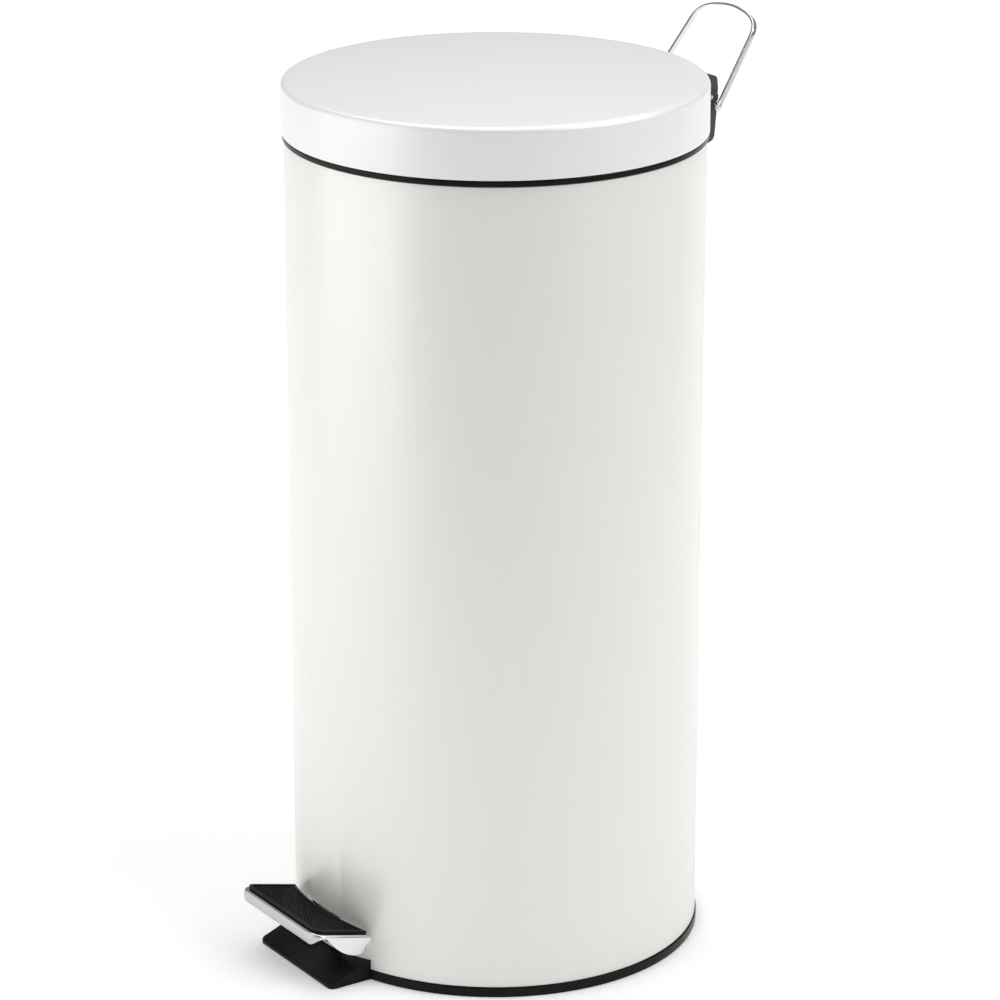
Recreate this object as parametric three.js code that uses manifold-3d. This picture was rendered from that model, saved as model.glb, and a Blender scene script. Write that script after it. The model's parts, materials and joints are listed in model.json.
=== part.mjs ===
// A round pedal-operated trash can. Millimetres, +Z up. The can's axis is Z and it stands on
// Z = 0, with the pedal towards -Y and the lid's hinge towards +Y.
import * as THREE from "three";
import { mergeVertices } from "three/addons/utils/BufferGeometryUtils.js";
import Module from "manifold-3d";

// Driving dimensions.
const GAP = 0.3; // clearance between pieces that touch
const SHEET = 0.8; // steel sheet of the shell and the lid
const SHELL_R = 145;
const SHELL_TOP = 580.6;
const BASE_R = 145.9;
const BASE_TOP = 7.15;
const FLOOR_THICK = 3;
const RIM_R = 146.1;
const RIM_TOP = 585;
const LID_R = 146.7;
const LID_EDGE = 620.6; // height where the lid's rounded edge meets its top
const LID_ROUND = 4;
const LID_RISE = 6.4; // the crown of the lid above its edge
const HINGE = { y: 158.5, z: 592.5 };
const KNUCKLE_R = 5.2;
const HINGE_PIN_R = 2;
const BLOCK_HALF = 34.5; // half width of both hinge blocks
const CENTRE_KNUCKLE_HALF = 20.5;
const EYE_ARM = 28; // hinge axis to the push rod's upper hook
const EYE_ANGLE = THREE.MathUtils.degToRad(32.5); // below the horizontal, lid closed
const ROD_R = 2;
const ROD_X = 8;
const PIVOT = { y: -50, z: 25 };
const PIVOT_PIN_R = 2.5;
const FOOT_Z = 9.95; // height of the push rod's lower hook
const HEAD_HALF = 51.5;
const HEAD_FRONT = { y: -184, z: 46.4 }; // upper front edge of the pedal's plate
const HEAD_TILT = THREE.MathUtils.degToRad(14);
const HEAD_PLATE = 1.5;
const TOE_HALF = 48.4;
const TOE_FRONT_Y = -170;
const HANDLE = { y: 159.2, z: 587 };
const HANDLE_LEAN = THREE.MathUtils.degToRad(55);
const HANDLE_PIN_R = 1.75;
const HANDLE_STRIP = 4; // width of the handle's flat strip
const BUCKET_R = 119;
const BUCKET_BOTTOM = 52;
const BUCKET_TOP = 580.3;
const BAIL_R = 122.5;
const BAIL_Z = 584;
const BAIL_WIRE_R = 1.6;
const SCREW_X = 17;
const SCREW_HOLE_R = 2.2;
const LID_SCREW_Z = 600;
const BLOCK_SCREW_Z = 566;
const BRACKET_SEAT_R = 144; // inner face of the bracket's flange
const PLATE_SEAT_R = 142.2; // inner face of the backing plate
const LEVER_SLOT = { half: 19.5, low: 13, high: 38 }; // the opening in the shell's front
const LEVER_HALF = 15.5;
const LEVER_SHEET = 3;
const BEARING_X = 20.5;
const RIVET_X = 9;
const RIVET_BACK = 26; // along the pedal's plate from its front edge
const FOOT_R = 9;
const FOOT_CIRCLE_R = 122;
const SHELF_R = 120.5; // inner edge of the rim ring's shelf
const SHELF_TOP = 578;
const COLLAR_R = 142.5;
const ROD_CUT_HALF = 13; // openings at the back that the push rod passes
const ROUND_SIDES = 72; // facets round the can
const BUCKET_SIDES = 48;
const SMALL_SIDES = 20;
const SIN_TILT = Math.sin(HEAD_TILT);
const COS_TILT = Math.cos(HEAD_TILT);
const EYE = {
  y: HINGE.y - EYE_ARM * Math.cos(EYE_ANGLE),
  z: HINGE.z - EYE_ARM * Math.sin(EYE_ANGLE),
};

const LOOKS = {
  lacquer: { color: 0xd6d5d0, roughness: 0.35, metalness: 0.3 },
  black: { color: 0x1c1d1f, roughness: 0.55, metalness: 0 },
  grey: { color: 0x55585b, roughness: 0.6, metalness: 0 },
  rubber: { color: 0x141414, roughness: 0.85, metalness: 0 },
  chrome: { color: 0xe2e4e6, roughness: 0.12, metalness: 1 },
  steel: { color: 0xa8abad, roughness: 0.35, metalness: 1 },
};

const wasm = await Module();
wasm.setup();
const can = new THREE.Group();

// Turns a drawing in X and Y, with its depth along Z, so that it shows Y and Z along X.
const SIDE_VIEW = new THREE.Matrix4().makeBasis(
  new THREE.Vector3(0, 1, 0),
  new THREE.Vector3(0, 0, 1),
  new THREE.Vector3(1, 0, 0),
);

// ---- Solids from three.js geometries ----

function solid(geometry) {
  const bare = geometry.clone();
  bare.deleteAttribute("normal");
  bare.deleteAttribute("uv");
  const merged = mergeVertices(bare, 1e-4);
  return new wasm.Manifold(
    new wasm.Mesh({
      numProp: 3,
      vertProperties: merged.attributes.position.array,
      triVerts: new Uint32Array(merged.index.array),
    }),
  );
}

function join(pieces) {
  return pieces.reduce((whole, piece) => whole.add(piece));
}

function cut(whole, pieces) {
  return pieces.reduce((rest, piece) => rest.subtract(piece), whole);
}

// A profile of [radius, height] pairs turned about Z. It runs upwards along its outside.
function turned(profile, sides = ROUND_SIDES) {
  const points = profile.map(([r, z]) => new THREE.Vector2(r, z));
  return solid(new THREE.LatheGeometry(points, sides).rotateX(Math.PI / 2));
}

function closed(profile) {
  return [...profile, profile[0]];
}

function tube(inner, outer, z0, z1, sides = ROUND_SIDES) {
  return turned(closed([[inner, z0], [outer, z0], [outer, z1], [inner, z1]]), sides);
}

function box(x0, x1, y0, y1, z0, z1) {
  const geometry = new THREE.BoxGeometry(x1 - x0, y1 - y0, z1 - z0);
  return solid(geometry.translate((x0 + x1) / 2, (y0 + y1) / 2, (z0 + z1) / 2));
}

function extruded(shape, depth, curveSegments = 6) {
  return new THREE.ExtrudeGeometry(shape, { depth, curveSegments, bevelEnabled: false });
}

function outline(points) {
  return new THREE.Shape(points.map(([a, b]) => new THREE.Vector2(a, b)));
}

// A side outline of [y, z] pairs, or a ready shape, carried along X from x0 to x1.
function sideways(shape, x0, x1) {
  const drawn = Array.isArray(shape) ? outline(shape) : shape;
  return solid(extruded(drawn, x1 - x0).applyMatrix4(SIDE_VIEW).translate(x0, 0, 0));
}

function upwards(shape, z0, z1) {
  return solid(extruded(shape, z1 - z0).translate(0, 0, z0));
}

function rodX(radius, x0, x1, { y, z }, sides = SMALL_SIDES) {
  const geometry = new THREE.CylinderGeometry(radius, radius, x1 - x0, sides);
  return solid(geometry.rotateZ(Math.PI / 2).translate((x0 + x1) / 2, y, z));
}

function rodY(radius, y0, y1, x, z, sides = SMALL_SIDES) {
  const geometry = new THREE.CylinderGeometry(radius, radius, y1 - y0, sides);
  return solid(geometry.translate(x, (y0 + y1) / 2, z));
}

// A screw hole along Y through the back of the can at each side.
function screwHoles(z, y1 = 150) {
  return [-SCREW_X, SCREW_X].map((x) => rodY(SCREW_HOLE_R, 130, y1, x, z));
}

function rodZ(radius, z0, z1, x, y, sides = SMALL_SIDES) {
  const geometry = new THREE.CylinderGeometry(radius, radius, z1 - z0, sides);
  return solid(geometry.rotateX(Math.PI / 2).translate(x, y, (z0 + z1) / 2));
}

function ball(radius, x, y, z, sides = 12) {
  return solid(new THREE.SphereGeometry(radius, sides, sides / 2).translate(x, y, z));
}

// A wire of round section along a curve, closed at both ends.
function wire(curve, radius, steps, sides = 8) {
  const section = new THREE.Shape().absarc(0, 0, radius, 0, 2 * Math.PI);
  return solid(
    new THREE.ExtrudeGeometry(section, { steps, curveSegments: sides / 2, extrudePath: curve }),
  );
}

// A shape drawn flat on the pedal's sloping plate: x across, y back from its front edge and
// z square to the plate.
function onPlate(geometry) {
  return solid(geometry.rotateX(-HEAD_TILT).translate(0, HEAD_FRONT.y, HEAD_FRONT.z));
}

function plateZ(y) {
  return HEAD_FRONT.z - ((y - HEAD_FRONT.y) * SIN_TILT) / COS_TILT;
}

function add(name, piece, look) {
  const { vertProperties, triVerts } = piece.getMesh();
  const geometry = new THREE.BufferGeometry();
  geometry.setAttribute("position", new THREE.BufferAttribute(vertProperties, 3));
  geometry.setIndex(new THREE.BufferAttribute(triVerts, 1));
  geometry.computeVertexNormals();
  const mesh = new THREE.Mesh(geometry, new THREE.MeshStandardMaterial(LOOKS[look]));
  mesh.name = name;
  can.add(mesh);
}

// ---- Shell, base and rim ----

// The rolled steel tube, with the lever's slot at the front and two screw holes at the back.
function bodyShell() {
  const wall = tube(SHELL_R - SHEET, SHELL_R, BASE_TOP + GAP, SHELL_TOP);
  const { half, low, high } = LEVER_SLOT;
  const slot = box(-half, half, -SHELL_R - 5, -SHELL_R + 20, low, high);
  return cut(wall, [slot, ...screwHoles(BLOCK_SCREW_Z)]);
}

// The black moulded base: floor, outer ring, spigot inside the shell, toe plate and bearings.
function base() {
  const spigotR = SHELL_R - SHEET - GAP;
  const dish = turned([
    [0, 0],
    [BASE_R - 0.5, 0],
    [BASE_R, 0.5],
    [BASE_R, BASE_TOP],
    [spigotR, BASE_TOP],
    [spigotR, 22],
    [spigotR - 1.9, 22],
    [spigotR - 1.9, FLOOR_THICK],
    [0, FLOOR_THICK],
  ]);
  const bearings = [-BEARING_X, BEARING_X].map((x) => bearing(x));
  const pads = footPlaces().map(([x, y]) => rodZ(FOOT_R + GAP, -1, 1.5, x, y));
  const leverRoom = box(-LEVER_SLOT.half, LEVER_SLOT.half, -150, -120, 12, 30);
  return cut(join([dish, toePlate(), ...bearings]), [leverRoom, ...pads]);
}

// The wedge in front of the can, which keeps its feet down when the pedal is pressed.
function toePlate() {
  const side = [
    [TOE_FRONT_Y, 0], [-130, 0], [-130, 16.5], [-140, 14], [TOE_FRONT_Y + 1, 2.9], [TOE_FRONT_Y, 2.2],
  ];
  const wedge = sideways(side, -TOE_HALF, TOE_HALF);
  const corner = 4;
  const plan = new THREE.Shape();
  plan.moveTo(-TOE_HALF, -130);
  plan.lineTo(-TOE_HALF, TOE_FRONT_Y + corner);
  plan.absarc(-TOE_HALF + corner, TOE_FRONT_Y + corner, corner, Math.PI, 1.5 * Math.PI);
  plan.absarc(TOE_HALF - corner, TOE_FRONT_Y + corner, corner, 1.5 * Math.PI, 2 * Math.PI);
  plan.lineTo(TOE_HALF, -130);
  const rounded = wedge.intersect(upwards(plan, -1, 20));
  const shellRoom = turned([
    [0, 1],
    [140, 1],
    [140, BASE_TOP],
    [SHELL_R + GAP, BASE_TOP],
    [SHELL_R + GAP, 30],
    [0, 30],
  ]);
  return rounded.subtract(shellRoom);
}

// One upright bearing for the pedal lever's pivot pin, centred on x.
function bearing(x) {
  const { y, z } = PIVOT;
  const upright = sideways(
    [[y - 13, FLOOR_THICK - 1], [y + 13, FLOOR_THICK - 1], [y + 6.5, z], [y + 4.6, z + 5],
      [y, z + 7], [y - 4.6, z + 5], [y - 6.5, z]],
    x - 2.5,
    x + 2.5,
  );
  return upright.subtract(rodX(PIVOT_PIN_R + GAP, x - 4, x + 4, PIVOT));
}

function footPlaces() {
  return [45, 135, 225, 315].map((degrees) => {
    const angle = THREE.MathUtils.degToRad(degrees);
    return [FOOT_CIRCLE_R * Math.cos(angle), FOOT_CIRCLE_R * Math.sin(angle)];
  });
}

// The black ring that caps the shell. Its shelf carries the bucket, and it is cut away at the
// back for the lid's bracket and the push rod.
function rimRing() {
  const inner = SHELL_R - SHEET - GAP;
  const ring = turned(
    closed([
      [SHELF_R, SHELF_TOP - 2.5],
      [141.4, SHELF_TOP - 2.5],
      [141.4, 572],
      [inner, 572],
      [inner, SHELL_TOP + GAP],
      [RIM_R, SHELL_TOP + GAP],
      [RIM_R, RIM_TOP - 0.4],
      [RIM_R - 0.4, RIM_TOP],
      [COLLAR_R, RIM_TOP],
      [COLLAR_R, RIM_TOP + 3],
      [COLLAR_R - 2.5, RIM_TOP + 3],
      [COLLAR_R - 2.5, SHELF_TOP],
      [SHELF_R, SHELF_TOP],
    ]),
  );
  const collarCut = box(-33, 33, 100, 160, RIM_TOP, RIM_TOP + 10);
  const rodCut = box(-ROD_CUT_HALF, ROD_CUT_HALF, 126.5, 142.2, 560, RIM_TOP + 10);
  return cut(ring, [collarCut, rodCut]);
}

// ---- Lid ----

function crown(radius) {
  const share = radius / (LID_R - LID_ROUND);
  return LID_EDGE + LID_RISE * (1 - share * share);
}

// The steel lid: a shallow crown, a rounded edge and a straight skirt.
function lidShell() {
  const steps = 4;
  const outer = [[LID_R, RIM_TOP + GAP]];
  const inner = [];
  for (let i = 0; i <= steps; i++) {
    const angle = (i / steps) * (Math.PI / 2);
    const along = LID_R - LID_ROUND + LID_ROUND * Math.cos(angle);
    outer.push([along, LID_EDGE - LID_ROUND + LID_ROUND * Math.sin(angle)]);
  }
  for (const r of [115, 80, 40]) outer.push([r, crown(r)]);
  outer.push([0, crown(0)]);
  for (const r of [0, 60, 110]) inner.push([r, crown(r) - SHEET]);
  for (let i = 2; i >= 0; i--) {
    const angle = (i / 2) * (Math.PI / 2);
    const bend = LID_ROUND - SHEET;
    const along = LID_R - LID_ROUND + bend * Math.cos(angle);
    inner.push([along, LID_EDGE - LID_ROUND + bend * Math.sin(angle)]);
  }
  inner.push([LID_R - SHEET, RIM_TOP + GAP]);
  const cap = turned([...inner, ...outer]);
  return cut(cap, screwHoles(LID_SCREW_Z));
}

// The black ring inside the lid, open at the back for the bracket and the rod's hook.
function lidInnerRing() {
  const ring = turned(
    closed([
      [127, 598],
      [128.6, 598],
      [128.6, 602.2],
      [137.2, 602.2],
      [137.2, 590],
      [139, 590],
      [139, 602.2],
      [LID_R - SHEET - GAP, 602.2],
      [LID_R - SHEET - GAP, 604],
      [127, 604],
    ]),
  );
  const bracketCut = box(-31, 31, 133, 160, 580, 620);
  const rodCut = box(-ROD_CUT_HALF, ROD_CUT_HALF, 110, 160, 580, 620);
  return cut(ring, [bracketCut, rodCut]);
}

// Space that the lid, rim and shell take, with clearance, which both hinge blocks stand off.
function canSpace() {
  return turned([
    [0, 500],
    [SHELL_R + GAP, 500],
    [SHELL_R + GAP, SHELL_TOP - 0.6],
    [RIM_R + GAP, SHELL_TOP - 0.6],
    [RIM_R + GAP, RIM_TOP],
    [LID_R + GAP, RIM_TOP],
    [LID_R + GAP, 640],
    [0, 640],
  ]);
}

// Upper hinge block, screwed to the lid's skirt. It holds the middle knuckle.
function lidHingeBlock() {
  const { y, z } = HINGE;
  const side = [
    [138, z + GAP], [y, z + GAP], [y + 4.9, z + 2.8], [y + 5.2, z + 6], [162.9, 605.6],
    [161.8, 607.1], [148.6, 611.8], [138, 614],
  ];
  const body = sideways(side, -BLOCK_HALF, BLOCK_HALF);
  const sideRoom = [-1, 1].map((side) => {
    const near = Math.min(side * CENTRE_KNUCKLE_HALF, side * (BLOCK_HALF + 1));
    return rodX(KNUCKLE_R + GAP, near, near + BLOCK_HALF + 1 - CENTRE_KNUCKLE_HALF, HINGE, 32);
  });
  const knuckle = rodX(KNUCKLE_R, -CENTRE_KNUCKLE_HALF, CENTRE_KNUCKLE_HALF, HINGE, 32);
  const bore = rodX(HINGE_PIN_R + GAP, -BLOCK_HALF, BLOCK_HALF, HINGE);
  const holes = screwHoles(LID_SCREW_Z, 157.5);
  return cut(join([cut(body, sideRoom), knuckle]), [canSpace(), bore, ...holes]);
}

// Lower hinge block, screwed to the shell. It holds the outer knuckles and the handle's ends.
function bodyHingeBlock() {
  const { y, z } = HINGE;
  const side = [
    [138, 559.6], [153.6, 559.6], [159.4, 562.2], [160.8, 565], [162.7, 586],
    [y + 4.4, z - 4.2], [y + 3.7, z - 3.7], [y, z - GAP], [138, z - GAP],
  ];
  const body = sideways(side, -BLOCK_HALF, BLOCK_HALF);
  const middleHalf = CENTRE_KNUCKLE_HALF + GAP;
  const middle = rodX(KNUCKLE_R + 0.8, -middleHalf, middleHalf, HINGE, 32);
  const knuckles = [-BLOCK_HALF, middleHalf].map((x) =>
    rodX(KNUCKLE_R, x, x + BLOCK_HALF - middleHalf, HINGE, 32),
  );
  const bore = rodX(HINGE_PIN_R + GAP, -BLOCK_HALF - 1, BLOCK_HALF + 1, HINGE);
  const handleBores = [-BLOCK_HALF - 1, BLOCK_HALF - 7].map((x) =>
    rodX(HANDLE_PIN_R + GAP, x, x + 8, HANDLE),
  );
  const holes = screwHoles(BLOCK_SCREW_Z, 156.5);
  const block = join([body.subtract(middle), ...knuckles]);
  return cut(block, [canSpace(), bore, ...handleBores, ...holes]);
}

// Steel bracket inside the lid's skirt, with the arm that carries the push rod.
function lidBracket() {
  const ring = tube(BRACKET_SEAT_R, LID_R - SHEET - GAP, 587, 601.8);
  const flange = ring.intersect(box(-26, 26, 100, 160, 580, 610));
  const side = [
    [144.6, 587], [141, 586.5], [139.4, 583], [139.3, EYE.z - 3], [136.5, EYE.z - 5.5],
    [132.5, EYE.z - 5.5], [129.7, EYE.z - 2], [129.9, EYE.z + 4], [134, 592], [140, 601.5],
    [144.6, 601.5],
  ];
  const arm = sideways(side, -2, 2);
  const eye = rodX(ROD_R + GAP, -4, 4, EYE);
  return cut(join([flange, arm]), [eye, ...screwHoles(LID_SCREW_Z)]);
}

// Curved plate inside the shell that spreads the lower block's screws.
function backingPlate() {
  const ring = tube(PLATE_SEAT_R, SHELL_R - SHEET - GAP, 556, 571.6);
  const plate = ring.intersect(box(-28, 28, 100, 160, 550, 580));
  return cut(plate, screwHoles(BLOCK_SCREW_Z));
}

// A pan-head screw along +Y, whose head lies inside the can on a seat of the given radius.
function screw(x, z, seatR, tipY) {
  const headR = 4;
  const headHeight = 2.2;
  const nearest = Math.abs(x) - headR;
  const headY = Math.sqrt(seatR * seatR - nearest * nearest) - 2 * headHeight;
  const head = rodY(headR, headY, headY + headHeight, x, z);
  return head.add(rodY(1.9, headY + 1, tipY, x, z));
}

// ---- Lid lifting gear ----

// The push rod: a straight wire hooked into the bracket's eye and the lever's slot.
function pushRod() {
  const { y, z } = EYE;
  const hookEnd = -5;
  const upper = rodX(ROD_R, hookEnd, ROD_X, EYE, 12);
  const lower = rodX(ROD_R, hookEnd, ROD_X, { y, z: FOOT_Z }, 12);
  const straight = rodZ(ROD_R, FOOT_Z, z, ROD_X, y, 12);
  return join([straight, upper, lower, ball(ROD_R, ROD_X, y, z), ball(ROD_R, ROD_X, y, FOOT_Z)]);
}

// The pressed steel lever: a wide strap under the pedal, two lugs on the pivot pin and a
// narrow arm to the push rod, which runs in a slot so that the linkage can move freely.
function pedalLever() {
  const { y, z } = PIVOT;
  const top = (at) => plateZ(at) - HEAD_PLATE / COS_TILT - GAP;
  const side = [
    [-174, top(-174)], [-174, top(-174) - LEVER_SHEET], [-141, top(-141) - LEVER_SHEET],
    [-66, z + 3.5], [y + 16, z + 3.5], [y + 16, z + 3.5 + LEVER_SHEET],
    [-66, z + 3.5 + LEVER_SHEET], [-141, top(-141)],
  ];
  const strap = sideways(side, -LEVER_HALF, LEVER_HALF);
  const lugs = [-LEVER_HALF, LEVER_HALF - 2.5].map((x) =>
    sideways(
      [[y - 14, z + 5], [y - 6, z - 4], [y, z - 6.5], [y + 6, z - 4], [y + 14, z + 5]],
      x,
      x + 2.5,
    ),
  );
  const arm = sideways(
    [[y, z + 6], [y, z + 3.8], [40, 12.5], [122, 6.5], [122, 12.5], [40, 19.5], [y + 16, z + 6]],
    -4.5,
    4.5,
  );
  const earSide = [
    [112, 7.5], [122, 4.2], [137, 4], [140.2, 7], [140.2, 12.6], [137, 15.4], [122, 15.6],
    [112, 12.6],
  ];
  const ear = sideways(earSide, -1.5, 1.5);
  const pinHoles = rodX(PIVOT_PIN_R + GAP, -20, 20, PIVOT);
  const rivetHoles = [-RIVET_X, RIVET_X].map((x) => rivetAt(x, 2.2, -10, 5));
  return cut(join([strap, ...lugs, arm, ear]), [pinHoles, rodSlot(), ...rivetHoles]);
}

// The long slot in the lever's ear, in line with the pivot pin.
function rodSlot() {
  const reach = 132.4 - PIVOT.y;
  const drop = FOOT_Z - PIVOT.z;
  const half = 3.1;
  const radius = ROD_R + 0.75;
  const shape = new THREE.Shape();
  shape.absarc(half, 0, radius, -Math.PI / 2, Math.PI / 2);
  shape.absarc(-half, 0, radius, Math.PI / 2, 1.5 * Math.PI);
  const slot = extruded(shape, 8).applyMatrix4(SIDE_VIEW).rotateX(Math.atan2(drop, reach));
  return solid(slot.translate(-4, PIVOT.y + reach, FOOT_Z + 0.1));
}

function pivotClip(x) {
  const disc = rodX(5, x, x + 1.2, PIVOT);
  return disc.subtract(rodX(PIVOT_PIN_R + GAP, x - 1, x + 3, PIVOT));
}

// ---- Pedal ----

// The pedal's plan: straight sides, round front corners and a back edge round the can.
function pedalPlan(half, front, corner, backR) {
  const backY = -Math.sqrt(backR * backR - half * half);
  const sweep = Math.asin(half / backR);
  const plan = new THREE.Shape();
  plan.moveTo(-half, backY);
  plan.lineTo(-half, front + corner);
  plan.absarc(-half + corner, front + corner, corner, Math.PI, 1.5 * Math.PI);
  plan.absarc(half - corner, front + corner, corner, 1.5 * Math.PI, 2 * Math.PI);
  plan.lineTo(half, backY);
  plan.absarc(0, 0, backR, -Math.PI / 2 + sweep, -Math.PI / 2 - sweep, true);
  return plan;
}

// The bright pedal: a sloping plate with a rolled front lip and deep side cheeks.
function pedalHead() {
  const { y, z } = HEAD_FRONT;
  const side = [
    [y + 2.2, z + 1.4], [y + 0.6, z + 1.2], [y, z], [y - 0.3, z - 3], [y + 0.3, z - 5.6],
    [y + 1.6, z - 6.6], [-165, 30.8], [-152, 23.4], [-149.2, 22.4], [-146.6, 23.6], [-137.5, 32.4],
    [-130, plateZ(-130) - HEAD_PLATE], [-130, plateZ(-130)], [y + 2.4, plateZ(y + 2.4)],
  ];
  const block = sideways(side, -HEAD_HALF, HEAD_HALF);
  const plan = upwards(pedalPlan(HEAD_HALF, y - 0.4, 9, 147.6), 0, 60);
  const under = (at) => plateZ(at) - HEAD_PLATE / COS_TILT;
  const hollow = sideways(
    [[y + 1.7, under(y + 1.7)], [y + 1.7, 0], [-120, 0], [-120, under(-120)]],
    -HEAD_HALF + HEAD_PLATE,
    HEAD_HALF - HEAD_PLATE,
  );
  const insidePlan = pedalPlan(HEAD_HALF - HEAD_PLATE, y + 1.5, 8, 120);
  const inside = hollow.intersect(upwards(insidePlan, -1, 60));
  const rivetHoles = [-RIVET_X, RIVET_X].map((x) => rivetAt(x, 2.2, -10, 5));
  return cut(block.intersect(plan), [inside, ...rivetHoles]);
}

// The rubber tread, lying on the pedal's plate behind its front lip.
function pedalPad() {
  const slab = sideways(
    [-181.3, -130].flatMap((y, i) => {
      const low = [y, plateZ(y) + GAP];
      const high = [y, plateZ(y) + 2.4];
      return i ? [low, high] : [high, low];
    }),
    -60,
    60,
  );
  return slab.intersect(upwards(pedalPlan(48.5, -181.3, 7, 148.2), 0, 60));
}

// A round piece square to the pedal's plate, from one height to another over its top face.
function rivetAt(x, radius, from, to) {
  const geometry = new THREE.CylinderGeometry(radius, radius, to - from, 12);
  return onPlate(geometry.rotateX(Math.PI / 2).translate(x, RIVET_BACK, (from + to) / 2));
}

function pedalRivet(x) {
  const under = -HEAD_PLATE - GAP - LEVER_SHEET;
  return join([rivetAt(x, 1.9, under - 1, -0.2), rivetAt(x, 3.6, under - 1.8, under - 0.3)]);
}

// ---- Carrying handle ----

// The bail of flat strip: two legs that lean in to a low arch, with a round pin at each end.
function carryHandle() {
  const curve = new THREE.Path();
  curve.moveTo(41, -1.5);
  curve.lineTo(35.4, 54);
  curve.bezierCurveTo(34.4, 63, 30, 66.5, 20, 69.4);
  curve.quadraticCurveTo(9, 72, 0, 72);
  const half = curve.getPoints(6);
  const mirrored = half.slice(0, -1).map((p) => new THREE.Vector2(-p.x, p.y)).reverse();
  const line = [...half, ...mirrored];
  const thick = 2;
  const offset = (side) =>
    line.map((p, i) => {
      const before = line[Math.max(i - 1, 0)];
      const after = line[Math.min(i + 1, line.length - 1)];
      const along = after.clone().sub(before).normalize();
      return new THREE.Vector2(p.x - along.y * side, p.y + along.x * side);
    });
  const strip = new THREE.Shape([...offset(-thick / 2), ...offset(thick / 2).reverse()]);
  const flat = extruded(strip, HANDLE_STRIP).translate(0, 0, -HANDLE_STRIP / 2);
  const loop = solid(flat.rotateX(HANDLE_LEAN).translate(0, HANDLE.y, HANDLE.z));
  const ends = [-1, 1].flatMap((side) => {
    const [inner, outer] = [28.5 * side, 41 * side].sort((a, b) => a - b);
    const [discIn, discOut] = [39.6 * side, 41.8 * side].sort((a, b) => a - b);
    return [rodX(HANDLE_PIN_R, inner, outer, HANDLE, 16), rodX(3, discIn, discOut, HANDLE, 16)];
  });
  return join([loop, ...ends]);
}

// ---- Inner bucket ----

// The lift-out bucket: a tapered pail hung by its flange, with two ears for its bail.
function innerBucket() {
  const wall = 1.5;
  const bottomR = 113;
  const pail = turned(
    [
      [0, BUCKET_BOTTOM],
      [bottomR - 3, BUCKET_BOTTOM],
      [bottomR, BUCKET_BOTTOM + 3],
      [BUCKET_R, BUCKET_TOP - 2],
      [BUCKET_R + 6, BUCKET_TOP - 2],
      [BUCKET_R + 6, BUCKET_TOP],
      [BUCKET_R - wall, BUCKET_TOP],
      [bottomR - wall, BUCKET_BOTTOM + 4],
      [bottomR - 4, BUCKET_BOTTOM + 2],
      [0, BUCKET_BOTTOM + 2],
    ],
    BUCKET_SIDES,
  );
  const ears = [-119.4, 117.4].map((x) =>
    sideways(
      [[-6, BUCKET_TOP - 1], [6, BUCKET_TOP - 1], [4, BAIL_Z + 3.4], [-4, BAIL_Z + 3.4]],
      x,
      x + 2,
    ),
  );
  const holes = rodX(BAIL_WIRE_R + GAP, -125, 125, { y: 0, z: BAIL_Z }, 12);
  return join([pail, ...ears]).subtract(holes);
}

// Half a ring in the plane of the bail, from one degree to another, over the front.
function bailArc(from, to) {
  const start = THREE.MathUtils.degToRad(from);
  const end = THREE.MathUtils.degToRad(to);
  const arc = new THREE.Curve();
  arc.getPoint = (t, target = new THREE.Vector3()) => {
    const angle = start + (end - start) * t;
    return target.set(BAIL_R * Math.cos(angle), BAIL_R * Math.sin(angle), BAIL_Z);
  };
  return arc;
}

function bucketBail() {
  const loop = wire(bailArc(180, 360), BAIL_WIRE_R, 30);
  const ends = [-1, 1].flatMap((side) => {
    const [from, to] = [115.5 * side, BAIL_R * side].sort((a, b) => a - b);
    return [
      rodX(BAIL_WIRE_R, from, to, { y: 0, z: BAIL_Z }, 12),
      ball(BAIL_WIRE_R + 0.05, side * BAIL_R, 0, BAIL_Z),
    ];
  });
  return join([loop, ...ends]);
}

function bailGrip() {
  const sleeve = wire(bailArc(250, 290), 3.1, 8, 12);
  return sleeve.subtract(wire(bailArc(248, 292), BAIL_WIRE_R + GAP, 9, 12));
}

// ---- The assembly ----

add("body_shell", bodyShell(), "lacquer");
add("base", base(), "black");
footPlaces().forEach(([x, y], i) => {
  add(`foot_pad_${i + 1}`, rodZ(FOOT_R, 0, 1.2, x, y), "rubber");
});
add("rim_ring", rimRing(), "black");
add("lid_shell", lidShell(), "lacquer");
add("lid_inner_ring", lidInnerRing(), "black");
add("lid_hinge_block", lidHingeBlock(), "black");
add("body_hinge_block", bodyHingeBlock(), "black");
add("hinge_pin", rodX(HINGE_PIN_R, -BLOCK_HALF + 0.8, BLOCK_HALF - 0.8, HINGE), "steel");
add("lid_bracket", lidBracket(), "steel");
add("hinge_backing_plate", backingPlate(), "steel");
for (const [side, x] of [["left", -SCREW_X], ["right", SCREW_X]]) {
  add(`lid_screw_${side}`, screw(x, LID_SCREW_Z, BRACKET_SEAT_R, 157), "steel");
  add(`hinge_block_screw_${side}`, screw(x, BLOCK_SCREW_Z, PLATE_SEAT_R, 156), "steel");
}
[270, 30, 150].forEach((degrees, i) => {
  const angle = THREE.MathUtils.degToRad(degrees);
  const bumper = rodZ(2.6, 578.3, 589.7, 136.6 * Math.cos(angle), 136.6 * Math.sin(angle), 14);
  add(`lid_bumper_${i + 1}`, bumper, "rubber");
});
add("push_rod", pushRod(), "steel");
add("pedal_lever", pedalLever(), "steel");
add("pedal_pivot_pin", rodX(PIVOT_PIN_R, -26, 26, PIVOT), "steel");
add("pivot_clip_left", pivotClip(-24.6), "steel");
add("pivot_clip_right", pivotClip(23.4), "steel");
add("pedal_head", pedalHead(), "chrome");
add("pedal_pad", pedalPad(), "rubber");
add("pedal_rivet_left", pedalRivet(-RIVET_X), "steel");
add("pedal_rivet_right", pedalRivet(RIVET_X), "steel");
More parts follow.
